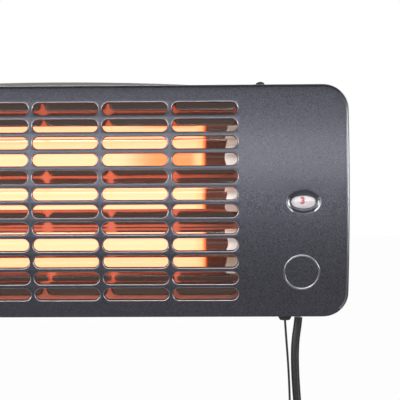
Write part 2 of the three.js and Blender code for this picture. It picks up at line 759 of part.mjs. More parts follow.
function cableTie() {
  const [width, depth] = [hankOuter - hankInner + 2 * fit, 2 * (hankHalfDepth + fit)];
  const outline = roundedRectangle(width + 2 * tieWall, depth + 2 * tieWall, 2.5);
  outline.holes.push(new THREE.Path(roundedRectangle(width, depth, fit).getPoints(1).reverse()));
  const ring = new THREE.ExtrudeGeometry(outline, { depth: tieWidth, bevelEnabled: false, curveSegments: 4 });
  return ring.translate(hankX + (hankOuter + hankInner) / 2, glandY, hankTopZ - hankRun / 2 - tieWidth / 2);
}

function plugBody() {
  const base = plugCordEnd - plugLength;
  return turned([
    [0, base], [plugRadius - 1.5, base], [plugRadius, base + 1.5], [plugRadius, base + 13], [plugRadius - 3.5, base + 15],
    [plugRadius - 4.5, base + 24], [9, base + 30], [6.5, plugCordEnd - 2], [5.5, plugCordEnd], [0, plugCordEnd]], 'z', 18);
}

// ---- assembly ----
piece('wall_bracket', wallBracket(), bracketPaint);
piece('rear_housing', rearHousing(), greyPaint);
piece('front_cover', frontCover(), greyPaint);
piece('reflector', reflector(), polished);
for (const [side, sign] of [['left', -1], ['right', 1]]) {
  const plate = piece(`end_plate_${side}`, endPlate(), polished);
  plate.position.x = tubeX + sign * plateFace - (sign < 0 ? endPlateWall : 0);

  const lug = piece(`hinge_lug_${side}`, pivotLug(), galvanised);
  lug.position.x = sign * (bracketWaist / 2 + fit);
  lug.scale.x = sign;

  const boltOut = bracketWaist / 2 + lugWall + 2 * fit;
  const bolt = joined([rod(pivotBoltRadius, -boltLength, boltHead / 2, 'x', 12), hexagon(boltAcross, 0, boltHead)]);
  const boltMesh = piece(`pivot_bolt_${side}`, meshed(bolt), galvanised);
  boltMesh.position.set(sign * boltOut, pivotY, pivotZ);
  boltMesh.scale.x = sign;

  const bore = rod(pivotBoltRadius + fit, -nutLength - 1, 1, 'x', 12);
  const nut = cutFrom(solid(hexagon(boltAcross, -nutLength, 0)), [bore]);
  const nutMesh = piece(`pivot_nut_${side}`, meshed(nut), galvanised);
  nutMesh.position.set(sign * (bracketWaist / 2 - bracketWall - fit), pivotY, pivotZ);
  nutMesh.scale.x = sign;

  piece(`cover_screw_${side}`, coverScrew(), galvanised).position.set(sign * screwX, at(screwDepth), 0);
}
for (const [name, z] of Object.entries(tubeHeights)) {
  piece(`quartz_tube_${name}`, quartzTube(), quartz).position.set(tubeX, tubeY, z);
  piece(`heating_coil_${name}`, heatingCoil(), glowing).position.set(tubeX, tubeY, z);
  for (const [side, sign] of [['left', -1], ['right', 1]]) {
    const cap = piece(`end_cap_${name}_${side}`, endCap(), ceramic);
    cap.position.set(tubeX, tubeY, z);
    cap.scale.x = sign;
  }
}

// The drum sits behind the window; the wheel, lever and spring follow on its shaft towards the left.
const drumLeft = windowX - drumWidth / 2;
const wheelLeft = drumLeft - fit - ratchetThickness;
const leverLeft = wheelLeft - fit - leverThickness;
const channelLeft = leverLeft - springTurns * 2.6 * springWire - 2 * springWire - 2 * fit - switchBracketWall;
const channelInner = drumLeft + drumWidth + 2 * fit - (channelLeft + switchBracketWall);
const switchLeft = channelLeft + channelInner + 2 * switchBracketWall + fit;
piece('indicator_drum', numberDrum(), whitePlastic).position.set(windowX, drumY, shaftZ);
piece('ratchet_wheel', ratchetWheel(), blackPlastic).position.set(wheelLeft, drumY, shaftZ);
piece('drum_shaft', rod(shaftRadius, channelLeft - 1, switchLeft + switchWidth / 2 - fit, 'x', 16), springSteel)
  .position.set(0, drumY, shaftZ);
piece('pull_lever', pullLever(), blackPlastic).position.set(leverLeft, drumY, shaftZ);
piece('lever_spring', leverSpring(), springSteel)
  .position.set(channelLeft + switchBracketWall + fit + springWire, drumY, shaftZ);
piece('switch_bracket', switchBracket(channelInner), galvanised).position.x = channelLeft;
piece('switch_body', switchBody(), blackPlastic).position.set(switchLeft, drumY, shaftZ);

const lensSeat = front + coverWall / 2 + coverWall + recessDepth + fit;
const lens = joined([
  upright(ellipse(recessHalfWidth + 1, recessHalfHeight), lensSeat, lensWall, 10),
  upright(ellipse(windowHalfWidth, windowHalfHeight), front + recessDepth - 0.4, lensSeat - front - recessDepth + 0.8, 10)]);
piece('window_lens', meshed(lens), clearPlastic).position.set(windowX, 0, windowZ);

piece('cord_bushing', cordBushing(), blackPlastic).position.set(cordX, cordY, 0);
const leverEyeZ = shaftZ + leverReach * Math.sin(radians(leverRestAngle));
const innerCordTop = leverEyeZ - leverEye - 1.5;
piece('inner_cord', rod(cordRadius, pullRoute[0][2] + fit, innerCordTop, 'z', 8), blackPlastic)
  .position.set(cordX, cordY, 0);
piece('pull_cord', wireAlong(pullRoute, cordRadius, 20), blackPlastic);
const knobTop = pullRoute[pullRoute.length - 1][2] - fit;
const knob = turned([
  [0, knobTop - knobLength], [0.72 * knobRadius, knobTop - 0.98 * knobLength],
  [knobRadius, knobTop - 0.83 * knobLength], [0.97 * knobRadius, knobTop - 0.58 * knobLength],
  [0.53 * knobRadius, knobTop - 0.17 * knobLength], [3 * cordRadius, knobTop], [0, knobTop]], 'z', 16);
piece('pull_knob', knob, blackPlastic).position.set(pullRoute[pullRoute.length - 1][0], cordY, 0);

piece('cable_gland', cableGland(), blackPlastic);
piece('mains_cable', wireAlong(leadRoute, leadRadius, 14, 10), leadRubber);
piece('cable_hank', cableHank(), leadRubber);
piece('cable_tie', cableTie(), blackPlastic);
piece('plug_cord', rod(leadRadius, plugCordEnd + fit, hankFootZ - runClear, 'z', 10), leadRubber)
  .position.set(plugX, glandY, 0);
piece('plug_body', plugBody(), blackPlastic).position.set(plugX, glandY, 0);
for (const [side, sign] of [['left', -1], ['right', 1]]) {
  const tip = plugCordEnd - plugLength - fit;
  piece(`plug_pin_${side}`, rod(pinRadius, tip - pinLength, tip, 'z', 12), brass)
    .position.set(plugX + (sign * pinSpacing) / 2, glandY, 0);
}

// Inside: terminal block, thermal cut-out, earth screw and the wiring.
const terminalBlock = joined([
  new THREE.BoxGeometry(blockWidth, blockStepDepth, blockHeight),
  new THREE.BoxGeometry(blockStepWidth, blockDepth, blockStepHeight)]);
piece('terminal_block', meshed(terminalBlock), whitePlastic)
  .position.set(glandX, housingInside - fit - blockDepth / 2, blockZ);
const glandTop = -rearHeight / 2 + housingWall + fit + glandFlangeThickness;
piece('inner_cable', rod(leadRadius, glandTop + fit, blockZ - blockHeight / 2 - fit, 'z', 10), leadRubber)
  .position.set(glandX, glandY, 0);

const cutoutFoot = at(reflectorDepth) + reflectorWall + fit;
const cutout = turned([
  [0, 0], [cutoutFlange, 0], [cutoutFlange, reflectorWall], [cutoutRadius, reflectorWall],
  [cutoutRadius, cutoutHeight], [0, cutoutHeight]], 'y', 12);
piece('thermal_cutout', cutout, blackPlastic).position.set(cutoutX, cutoutFoot, 0);
const earthScrew = turned([
  [0, -earthLength], [earthHead, -earthLength], [earthHead, -0.6 * earthLength], [earthShank, -0.6 * earthLength],
  [earthShank, 0], [0, 0]], 'y', 10);
piece('earth_screw', earthScrew, brass).position.set(rightEnd - earthInset, housingInside - fit, earthZ);

// A bar joins the three left tails, and a wire runs from it behind the reflector to the terminal block.
const tailTip = plateFace + capNeckLength + tailReach;
const linkX = tubeX - tailTip - fit - wireRadius;
const linkEnd = tubePitch + linkOverhang;
piece('link_wire', rod(wireRadius, -linkEnd, linkEnd, 'z', 8), brass).position.set(linkX, tubeY, 0);
const returnRoute = [
  [linkX, tubeY, -linkEnd - 2 * fit], [linkX, tubeY + 2, loomZ + 2], [linkX + 6, glandY - 12, loomZ - 1],
  [linkX + 24, glandY, loomZ - 1], [tubeX, glandY, loomZ], [earthInset, glandY, loomZ],
  [rightEnd - earthInset - 2 * knobLength / 3, glandY, blockZ - 2], [glandX - blockWidth / 2 - fit, glandY, blockZ],
];
piece('return_wire', wireAlong(returnRoute, wireRadius, 24, 6), ceramic);

// From each right tail a wire goes to the switch.
const terminalY = drumY + 6;
const feedX = tubeX + tailTip + 3 * fit;
const terminalX = switchLeft + switchWidth / 2;
const [switchTop, switchFoot] = [shaftZ + switchHalf + fit, shaftZ - switchHalf - fit];
const feedRoutes = {
  top: [[feedX, tubeY, tubePitch], [feedX + 6, tubeY, tubePitch + 1], [feedX + 26, tubeY + 4, tubePitch],
    [terminalX - 12, terminalY + 4, tubePitch - 5], [terminalX, terminalY, switchTop + 10],
    [terminalX, terminalY, switchTop]],
  middle: [[feedX, tubeY, 0], [feedX + 2, tubeY, 0], [feedX + 5, tubeY + 4, 4], [feedX + 7, tubeY + 12, 18],
    [feedX + 26, tubeY + 14, 24], [terminalX - 14, terminalY + 14, 24], [terminalX - 4, terminalY + 8, switchTop + 8],
    [terminalX - 4, terminalY + 7, switchTop]],
  bottom: [[feedX, tubeY, -tubePitch], [feedX + 6, tubeY, -tubePitch - 1], [feedX + 26, tubeY + 12, -tubePitch],
    [terminalX - 12, terminalY + 4, 5 - tubePitch], [terminalX, terminalY, switchFoot - 10],
    [terminalX, terminalY, switchFoot]],
};
for (const [name, route] of Object.entries(feedRoutes)) {
  piece(`feed_wire_${name}`, wireAlong(route, wireRadius, 16, 6), ceramic);
}

export default heater;
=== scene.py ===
# A wall-mounted infrared heater: three quartz tubes behind an arched, slotted steel front, a
# pull-cord step switch with a number window, and a tilting wall bracket. Metres. The wall is the
# plane Y = 0.
import math

import bmesh
import bpy
from mathutils import Matrix, Vector


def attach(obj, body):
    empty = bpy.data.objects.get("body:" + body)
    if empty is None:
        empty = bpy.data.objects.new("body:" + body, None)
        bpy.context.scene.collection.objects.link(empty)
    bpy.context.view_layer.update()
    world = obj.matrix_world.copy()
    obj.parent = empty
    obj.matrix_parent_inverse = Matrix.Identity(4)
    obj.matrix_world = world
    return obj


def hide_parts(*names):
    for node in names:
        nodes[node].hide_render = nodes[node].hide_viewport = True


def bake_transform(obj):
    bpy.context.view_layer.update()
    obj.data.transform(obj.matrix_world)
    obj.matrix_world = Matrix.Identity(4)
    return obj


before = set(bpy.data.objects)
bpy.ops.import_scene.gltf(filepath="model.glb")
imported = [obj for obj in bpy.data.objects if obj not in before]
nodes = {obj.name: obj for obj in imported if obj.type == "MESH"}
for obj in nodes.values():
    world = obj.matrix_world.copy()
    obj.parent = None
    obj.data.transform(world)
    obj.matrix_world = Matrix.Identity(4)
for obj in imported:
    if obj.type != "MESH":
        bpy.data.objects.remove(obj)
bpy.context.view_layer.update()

# ---- camera, floor and lamps ----
# The camera stands a little above the front's middle, to the right. The pale floor lies far below,
# and what the camera sees past it is white. Four soft lamps light the heater.
camera = bpy.data.objects.new("camera", bpy.data.cameras.new("camera"))
camera.data.sensor_width = 36
camera.data.lens = 100.87
camera.matrix_world = Matrix((
    (0.99979616, 0.00505705, 0.01954644, 0.14915),
    (0.01920013, 0.06127829, -0.99793603, -0.98995),
    (-0.00624439, 0.99810791, 0.0611687, 0.05629),
    (0, 0, 0, 1)))
bpy.context.collection.objects.link(camera)
bpy.context.scene.camera = camera
bpy.context.scene.view_settings.view_transform = "Standard"


def shade(red, green, blue):
    """A colour as it is seen, 0 to 255, as the shader takes it."""
    return tuple((c / 12.92 if c <= 0.04045 else ((c + 0.055) / 1.055) ** 2.4)
                 for c in (red / 255, green / 255, blue / 255)) + (1.0,)


class Value:
    """A shader value that can be added, multiplied and so on."""

    def __init__(self, finish, socket):
        self.finish = finish
        self.socket = socket

    def worked(self, operation, *inputs):
        settings = {"operation": operation}
        return self.finish.node("ShaderNodeMath", settings, dict(enumerate(inputs)))

    def __add__(self, other):
        return self.worked("ADD", self, other)

    __radd__ = __add__

    def __sub__(self, other):
        return self.worked("SUBTRACT", self, other)

    def __rsub__(self, other):
        return self.worked("SUBTRACT", other, self)

    def __mul__(self, other):
        return self.worked("MULTIPLY", self, other)

    __rmul__ = __mul__

    def size(self):
        return self.worked("ABSOLUTE", self)

    def between(self, low, high):
        """0 below low, 1 above high, smooth between."""
        return self.finish.node("ShaderNodeMapRange", {"interpolation_type": "SMOOTHSTEP"},
                                {"Value": self, "From Min": low, "From Max": high})


class Finish:
    """A material built on one surface shader."""

    def __init__(self, name, **sockets):
        self.material = bpy.data.materials.new(name)
        self.material.use_nodes = True
        self.nodes = self.material.node_tree.nodes
        self.links = self.material.node_tree.links
        self.surface = self.nodes["Principled BSDF"]
        self.output = self.nodes["Material Output"]
        self.set(**sockets)

    def set(self, **sockets):
        for name, value in sockets.items():
            self.feed(self.surface.inputs[name.replace("_", " ")], value)

    def feed(self, socket, value):
        if isinstance(value, Value):
            self.links.new(value.socket, socket)
        else:
            socket.default_value = value

    def node(self, kind, settings=None, inputs=None, output=0):
        made = self.nodes.new(kind)
        for name, value in (settings or {}).items():
            if name == "stops":
                ramp = made.color_ramp
                while len(ramp.elements) < len(value):
                    ramp.elements.new(0.5)
                for element, (place, color) in zip(ramp.elements, value):
                    element.position = place
                    element.color = color
            else:
                setattr(made, name, value)
        for name, value in (inputs or {}).items():
            self.feed(made.inputs[name], value)
        return Value(self, made.outputs[output])

    def place(self):
        """The point on the piece, in metres."""
        return self.node("ShaderNodeTexCoord", output="Object")

    def axis(self, letter):
        return self.node("ShaderNodeSeparateXYZ", {}, {0: self.place()}, "XYZ".index(letter))

    def noise(self, scale, detail=2.0, stretch=(1, 1, 1)):
        where = self.node("ShaderNodeMapping", {}, {"Vector": self.place(), "Scale": stretch})
        return self.node("ShaderNodeTexNoise", {},
                         {"Vector": where, "Scale": scale, "Detail": detail})

    def mix(self, amount, first, second):
        # a Mix node's colours are its inputs 6 and 7 and its output 2
        return self.node("ShaderNodeMix", {"data_type": "RGBA"},
                         {0: amount, 6: first, 7: second}, 2)

    def bump(self, height, strength, distance):
        self.set(Normal=self.node("ShaderNodeBump", {}, {
            "Height": height, "Strength": strength, "Distance": distance}))


floor_radius, floor_z = 20, -1.9
white_share = 0.98  # the rest of what the camera sees there is the lit floor with its shadow
pale_floor = Finish("pale_floor", Base_Color=(0.8, 0.8, 0.8, 1), Roughness=0.9)
seen = pale_floor.node("ShaderNodeLightPath", output="Is Camera Ray")
bright = pale_floor.node("ShaderNodeEmission", {}, {"Color": (1, 1, 1, 1)})
faded = pale_floor.node("ShaderNodeMixShader", {}, {0: seen * white_share, 2: bright})
pale_floor.links.new(pale_floor.surface.outputs[0], faded.socket.node.inputs[1])
pale_floor.links.new(faded.socket, pale_floor.output.inputs[0])
bpy.ops.object.select_all(action="DESELECT")
bpy.ops.mesh.primitive_circle_add(vertices=64, radius=floor_radius, fill_type="NGON",
                                  location=(0, 0, floor_z))
floor = bpy.context.object
floor.name = "floor"
floor.data.materials.append(pale_floor.material)

world = bpy.data.worlds.new("studio")
bpy.context.scene.world = world
world.use_nodes = True
air = world.node_tree
ray = air.nodes.new("ShaderNodeLightPath")
white = air.nodes.new("ShaderNodeBackground")
white.inputs[0].default_value = (1, 1, 1, 1)
dim = air.nodes["Background"]
dim.inputs[0].default_value = (0.42, 0.28, 0.24, 1)
dim.inputs[1].default_value = 0.17
either = air.nodes.new("ShaderNodeMath")
either.operation = "MAXIMUM"
air.links.new(ray.outputs["Is Camera Ray"], either.inputs[0])
air.links.new(ray.outputs["Is Transmission Ray"], either.inputs[1])
# gloss shows the white backdrop behind the heater, and in front of it the dim room
way = air.nodes.new("ShaderNodeSeparateXYZ")
air.links.new(air.nodes.new("ShaderNodeTexCoord").outputs["Generated"], way.inputs[0])
behind = air.nodes.new("ShaderNodeMapRange")
behind.interpolation_type = "SMOOTHSTEP"
behind.inputs["From Min"].default_value = -0.1
behind.inputs["From Max"].default_value = 0.5
air.links.new(way.outputs["Y"], behind.inputs["Value"])
gloss = air.nodes.new("ShaderNodeMath")
gloss.operation = "MULTIPLY_ADD"
air.links.new(ray.outputs["Is Glossy Ray"], gloss.inputs[0])
air.links.new(behind.outputs[0], gloss.inputs[1])
air.links.new(either.outputs[0], gloss.inputs[2])
gloss.use_clamp = True
choice = air.nodes.new("ShaderNodeMixShader")
air.links.new(gloss.outputs[0], choice.inputs[0])
air.links.new(dim.outputs[0], choice.inputs[1])
air.links.new(white.outputs[0], choice.inputs[2])
air.links.new(choice.outputs[0], air.nodes["World Output"].inputs[0])

front_middle = Vector((0.1, -0.1, 0.0))
for name, place, width, height, watts in [
        ("front_softbox", (-0.25, -2.6, 0.58), 2.8, 0.7, 74),
        ("right_softbox", (2.1, -1.1, 0.22), 0.4, 1.2, 28),
        ("left_softbox", (-2.2, -1.4, 0.2), 0.4, 1.2, 30),
        ("rear_softbox", (-0.6, 2.6, 1.2), 1.6, 1.0, 45)]:
    lamp = bpy.data.objects.new(name, bpy.data.lights.new(name, "AREA"))
    lamp.data.shape = "RECTANGLE"
    lamp.data.size = width
    lamp.data.size_y = height
    lamp.data.energy = watts
    lamp.location = place
    lamp.rotation_mode = "QUATERNION"
    lamp.rotation_quaternion = (front_middle - Vector(place)).to_track_quat("-Z", "Y")
    bpy.context.collection.objects.link(lamp)

# ---- front cover ----
# One sheet of steel, pressed to a low arch with a rounded edge and a flange behind it. 84 slots
# with round ends are punched through and their rims are pressed in. It is painted in a fine
# metallic grey.
arch_radius = 0.333
front_y = -0.108
arch_middle = front_y + arch_radius
row_pitch = 0.0136
column_pitch = 0.0554
rows = 12
columns = 7
field_rise = 0.0005
field_left = -0.2243
slot_end = 0.02095  # from a slot's middle to the centre of its round end
# half of the slot's height at each step of its rim, and how far the step lies above the sheet
rim_profile = [(0.00572, 0), (0.00552, -0.00008), (0.00530, -0.00030), (0.00512, -0.00065),
               (0.005, -0.0012), (0.00480, -0.0020)]
rim_points = 24
half_turn = 180 / rim_points  # half of the angle between two points of the rim, in degrees
corner_turn = 5 * half_turn  # the point that goes out to the corner of the slot's cell
last_turn = 11 * half_turn  # the point that goes straight up
half_cell = Vector((column_pitch / 2, row_pitch / 2))
side_parts = 5  # the parts that a cell's side is divided into by the rim's points
level = row_pitch / side_parts
sheet = 0.0008
hair = 1e-6  # corners that are nearer than this lie on one line


def start_edit(piece):
    bpy.ops.object.select_all(action="DESELECT")
    bpy.context.view_layer.objects.active = piece
    piece.select_set(True)
    bpy.ops.object.mode_set(mode="EDIT")


def pick(test, kind="verts"):
    """Selects, in edit mode, the corners or faces that pass the test."""
    bpy.ops.mesh.select_mode(type="VERT" if kind == "verts" else "FACE")
    mesh = bmesh.from_edit_mesh(bpy.context.object.data)
    for part in (mesh.faces, mesh.edges, mesh.verts):
        for item in part:
            item.select = False
    for item in getattr(mesh, kind):
        if test(item.co if kind == "verts" else item.calc_center_median()):
            item.select = True
    mesh.select_flush(True)
    bmesh.update_edit_mesh(bpy.context.object.data)


def put(move):
    """Places each selected corner where move says."""
    mesh = bmesh.from_edit_mesh(bpy.context.object.data)
    for point in mesh.verts:
        if point.select:
            point.co = move(point.co.copy())
    bmesh.update_edit_mesh(bpy.context.object.data)


def pull_out(move):
    """Extrudes the selected loop and places its new corners."""
    bpy.ops.mesh.extrude_region_move()
    put(move)


def end_centre(co):
    return Vector((math.copysign(slot_end, co.x), 0, 0))


def from_end(co):
    """The vector to a point of the rim from the centre of the slot's round end."""
    return (co - end_centre(co)).xy


def to_cell_edge(co):
    """From the slot's rim straight out to the edge of its cell."""
    out = from_end(co)
    turn = math.degrees(math.atan2(out.y, abs(out.x)))
    if abs(turn) < corner_turn + half_turn:
        return Vector((math.copysign(half_cell.x, co.x), half_cell.y * turn / corner_turn, 0))
    along = (half_cell.x - slot_end) * (last_turn - abs(turn)) / (last_turn - corner_turn)
    return Vector((math.copysign(slot_end + along, co.x), math.copysign(half_cell.y, turn), 0))


metallic_paint = Finish("fine_metallic_grey_paint", Metallic=0.88, Coat_Weight=0.10,
                        Coat_Roughness=0.2)
fleck = metallic_paint.noise(2200, 2)
flecked = fleck.between(0.30, 0.70)
metallic_paint.set(Base_Color=metallic_paint.mix(flecked, shade(42, 42, 48), shade(88, 89, 98)),
                   Roughness=0.44 + flecked * 0.10)
metallic_paint.bump(fleck, 0.15, 0.0002)
# painted highlight: the first steps of the slots' pressed rims get a lighter, smoother copy of the
# front's paint, so that they shine brighter
rim_highlight_paint = Finish("paint_lightened_for_rim_highlights", Metallic=1.0, Roughness=0.34)
rim_highlight_paint.set(Base_Color=rim_highlight_paint.mix(rim_highlight_paint.noise(1500, 2),
                                           shade(150, 149, 155), shade(182, 181, 187)))
# painted highlight: a lighter copy of the front's paint for the left and right edge folds, the
# window recess's left and right sides and the ring's ridge
edge_highlight_paint = Finish("paint_lightened_for_edge_highlights", Metallic=1.0, Roughness=0.34)
edge_highlight_paint.set(Base_Color=edge_highlight_paint.mix(edge_highlight_paint.noise(1500, 2),
                                             shade(116, 117, 122), shade(142, 143, 148)))
# painted shade: the deepest step of each slot's rim, its inner edge, is dark brown where shade
# falls
slot_edge_shade_paint = Finish("painted_shade_on_slot_edges", Metallic=0.0, Roughness=0.7, Specular_IOR_Level=0.2)
slot_edge_shade_paint.set(Base_Color=slot_edge_shade_paint.mix(slot_edge_shade_paint.noise(900, 2),
                                             shade(44, 24, 22), shade(66, 34, 28)))
# painted light: the bare back of the sheet is tinted red, standing in for the tubes' red glow that
# lights it
red_glow_tinted_sheet = Finish("bare_sheet_with_painted_red_glow", Metallic=0.2, Roughness=0.45)
red_glow_tinted_sheet.set(Base_Color=red_glow_tinted_sheet.mix(red_glow_tinted_sheet.noise(60, 4),
                                         shade(178, 124, 114), shade(204, 146, 134)))
front_paints = [metallic_paint, rim_highlight_paint, slot_edge_shade_paint, edge_highlight_paint]

bpy.ops.object.select_all(action="DESELECT")
bpy.ops.mesh.primitive_circle_add(vertices=rim_points, radius=rim_profile[0][0],
                                  rotation=(0, 0, math.radians(half_turn)))
cover = bpy.context.object
cover.name = "cover"
for paint in front_paints + [red_glow_tinted_sheet] * len(front_paints):
    cover.data.materials.append(paint.material)
bpy.ops.object.transform_apply(location=True, rotation=True, scale=True)
start_edit(cover)
for side in (1, -1):
    pick(lambda co: co.x * side > 0)
    bpy.ops.transform.translate(value=(side * slot_end, 0, 0))
bpy.ops.mesh.select_all(action="SELECT")
pull_out(to_cell_edge)
for (wide, deep), (next_wide, next_deep) in zip(rim_profile, rim_profile[1:]):
    pick(lambda co: abs(from_end(co).length - wide) < hair and abs(co.z - deep) < hair)
    pull_out(lambda co: end_centre(co) + Vector((*(from_end(co) * (next_wide / wide)), next_deep)))
bpy.ops.mesh.select_all(action="SELECT")
first_row = field_rise - (rows - 1) / 2 * row_pitch
bpy.ops.transform.translate(value=(field_left + half_cell.x, first_row, 0))
bpy.ops.object.mode_set(mode="OBJECT")
for count, step in ((columns, (column_pitch, 0, 0)), (rows, (0, row_pitch, 0))):
    repeat = cover.modifiers.new("repeat", "ARRAY")
    repeat.count = count
    repeat.use_relative_offset = False
    repeat.use_constant_offset = True
    repeat.constant_offset_displace = step
    repeat.use_merge_vertices = True
    repeat.merge_threshold = 2e-5
    bpy.ops.object.modifier_apply(modifier=repeat.name)

# the plain sheet round the slots grows out of the field's edges, row by row
field_right = field_left + columns * column_pitch
field_top = field_rise + rows / 2 * row_pitch
field_foot = field_rise - rows / 2 * row_pitch
edge = 0.0025  # the radius of the folded edge
corner = 0.020  # the radius of the cover's corners
flat = corner - edge
half_width = 0.250
half_height = 0.0933
flat_x = half_width - edge
flat_s = arch_radius * math.asin((half_height - edge) / arch_radius)  # s runs along the arch
hole_left, hole_step, hole_parts = 0.1956, 0.003, 12
hole_x = [hole_left + hole_step * part for part in range(hole_parts + 1)]
left_lines = [-0.2265, -0.2285, -0.2302, -0.2335, -0.2367, -0.2398, -0.2430, -flat_x]
right_lines = [0.167, 0.174, 0.181, 0.188, *hole_x, 0.2346, 0.2376, 0.2406, 0.2434, flat_x]
top_lines = [0.0842, 0.0863, 0.0884, flat_s]
foot_lines = [-0.0834, -0.0857, -0.0881, -flat_s]
start_edit(cover)
for lines, last in ((left_lines, field_left), (right_lines, field_right)):
    for line in lines:
        pick(lambda co: abs(co.x - last) < hair)
        pull_out(lambda co: Vector((line, co.y, 0)))
        last = line
for lines, last in ((top_lines, field_top), (foot_lines, field_foot)):
    for line in lines:
        pick(lambda co: abs(co.y - last) < hair)
        pull_out(lambda co: Vector((co.x, line, 0)))
        last = line

# the pressed recess with its oval window opening, and the pressed ring below it: half width, half
# height and height above the sheet of each of their lines, from the outside in
window_x, window_s = 0.2136, 0.0003
ring_x, ring_s = 0.2123, -0.0564
recess_rings = [(0.01390, 0.01010, 0), (0.01310, 0.00930, -0.00006),
                (0.01245, 0.00860, -0.00030), (0.01185, 0.00790, -0.00075),
                (0.01130, 0.00720, -0.00115), (0.01075, 0.00640, -0.00130),
                (0.01020, 0.00570, -0.00132), (0.00992, 0.00542, -0.00150),
                (0.00985, 0.00535, -0.00210)]
ring_line = [(0.01560, 0), (0.01470, 0), (0.01440, 0.00008), (0.01418, 0.00028), (0.01395, 0.00038),
             (0.01368, 0.00038), (0.01345, 0.00028), (0.01322, 0.00008), (0.01295, 0), (0.0110, 0),
             (0.0080, 0), (0.0045, 0), (0.0018, 0)]
half_levels = rows * side_parts // 2
levels = [field_rise + level * step for step in range(-half_levels, half_levels + 1)]
recess_foot, recess_top = levels[24], levels[36]
ring_foot, ring_top = levels[1], levels[17]
left, right = hole_x[0], hole_x[-1]
for middle_x, middle_s, foot, top, rings in (
        (window_x, window_s, recess_foot, recess_top, recess_rings),
        (ring_x, ring_s, ring_foot, ring_top, [(r, r, h) for r, h in ring_line])):
    pick(lambda co: left < co.x < right and foot < co.y < top, "faces")
    bpy.ops.mesh.delete(type="FACE")
    pick(lambda co: left - hair < co.x < right + hair and foot - hair < co.y < top + hair)
    for wide, tall, rise in rings:
        def on_ring(co):
            turn = math.atan2((co.y - middle_s) / tall, (co.x - middle_x) / wide)
            return Vector((middle_x + wide * math.cos(turn),
                           middle_s + tall * math.sin(turn), rise))
        pull_out(on_ring)
bpy.ops.mesh.merge(type="CENTER")


def paint_faces(paint, test):
    pick(test, "faces")
    cover.active_material_index = front_paints.index(paint)
    bpy.ops.object.material_slot_assign()


pressed = 1e-5  # a face whose middle lies this far off the sheet has been pressed
# how deep the rims' lightened paint (painted highlight) reaches, and where their painted shade
# starts
rim_highlight_depth, slot_shade_depth = -0.0004, -0.0012
recess_reach = 0.016
# the part of the window recess whose left and right sides get a painted highlight
recess_highlight_x, recess_highlight_depth, recess_highlight_top = 0.0088, -0.0011, window_s + 0.0035
# painted shade on the inner edge of each slot
paint_faces(slot_edge_shade_paint, lambda co: co.z < slot_shade_depth and abs(co.x - window_x) > recess_reach)
# painted highlight: the first steps of each slot's rim get the lightened paint
paint_faces(rim_highlight_paint, lambda co: rim_highlight_depth < co.z < -pressed
            and abs(co.x - window_x) > recess_reach)
# painted highlights on the ring's ridge and on the left and right sides of the window recess
paint_faces(edge_highlight_paint, lambda co: co.z > pressed or (
    recess_highlight_depth < co.z < -pressed and recess_highlight_x < abs(co.x - window_x) < recess_reach
    and co.y < recess_highlight_top))

# the flat sheet is bent to the arch, its corners are rounded, and its edge is folded back
pick(lambda co: True)


def to_arch(co):
    turn = co.y / arch_radius
    height = arch_radius + co.z
    return Vector((co.x, arch_middle - height * math.cos(turn), height * math.sin(turn)))


def arch_y(z):
    return arch_middle - math.sqrt(arch_radius ** 2 - z ** 2)


def from_corner(co):
    """The vector to a point of the edge from its corner's centre, or from the straight line."""
    inner_x = max(-(half_width - corner), min(half_width - corner, co.x))
    inner_z = max(-(half_height - corner), min(half_height - corner, co.z))
    return Vector((co.x - inner_x, 0, co.z - inner_z))


def round_corner(co):
    out = from_corner(co)
    if abs(out.x) < 1e-9 or abs(out.z) < 1e-9:
        return co
    share = max(abs(out.x), abs(out.z)) / out.length
    placed = co - out + out * share
    placed.y += arch_y(placed.z) - arch_y(co.z)
    return placed


put(lambda co: round_corner(to_arch(co)))
edge_steps = 7
reach = flat
for step in range(1, edge_steps + 1):
    turn = math.pi / 2 * step / edge_steps
    pick(lambda co: from_corner(co).length > reach - hair)
    reach = flat + edge * math.sin(turn)
    drop = edge * (1 - math.cos(turn))

    def fold(co):
        out = from_corner(co)
        placed = co - out + out.normalized() * reach
        placed.y = arch_y(placed.z) + drop
        return placed
    pull_out(fold)
# painted highlight on the left and right folds of the edge only; the top and foot keep the plain
# paint
side_highlight_x, fold_start, fold_end = 0.243, flat + 0.0002, corner - 0.0001
paint_faces(edge_highlight_paint, lambda co: fold_start < from_corner(co).length < fold_end
            and abs(co.x) > side_highlight_x)
flange_depth = 0.036
flange_y = front_y + flange_depth
for share in (0.3, 0.7, 1.0):
    pick(lambda co: from_corner(co).length > reach - hair)
    mesh = bmesh.from_edit_mesh(cover.data)
    open_points = {point for part in mesh.edges if part.is_boundary for point in part.verts}
    for point in mesh.verts:
        point.select = point.select and point in open_points
    mesh.select_flush(False)
    mesh.select_flush(True)
    pull_out(lambda co: Vector((co.x, co.y + (flange_y - co.y) * share, co.z)))
# the lower flange is notched for the pull cord, and the cord's bushing covers the notch
notch_x, notch_half, notch_y = 0.2001, 0.001, -0.0755
pick(lambda co: abs(co.x - notch_x) < notch_half and co.y > notch_y and co.z < 0, "faces")
bpy.ops.mesh.delete(type="FACE")
bpy.ops.mesh.select_all(action="SELECT")
bpy.ops.mesh.normals_make_consistent(inside=False)
bpy.ops.object.mode_set(mode="OBJECT")
if cover.data.polygons[0].normal.y > 0:
    cover.data.flip_normals()

wall = cover.modifiers.new("wall", "SOLIDIFY")
wall.thickness = sheet
wall.offset = -1
# the back of the sheet takes the red tint that stands in for the glow's light
wall.material_offset = len(front_paints)
bpy.ops.object.modifier_apply(modifier=wall.name)
bpy.ops.object.shade_smooth_by_angle(angle=math.radians(40))
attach(cover, "heater_body")
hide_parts("front_cover")

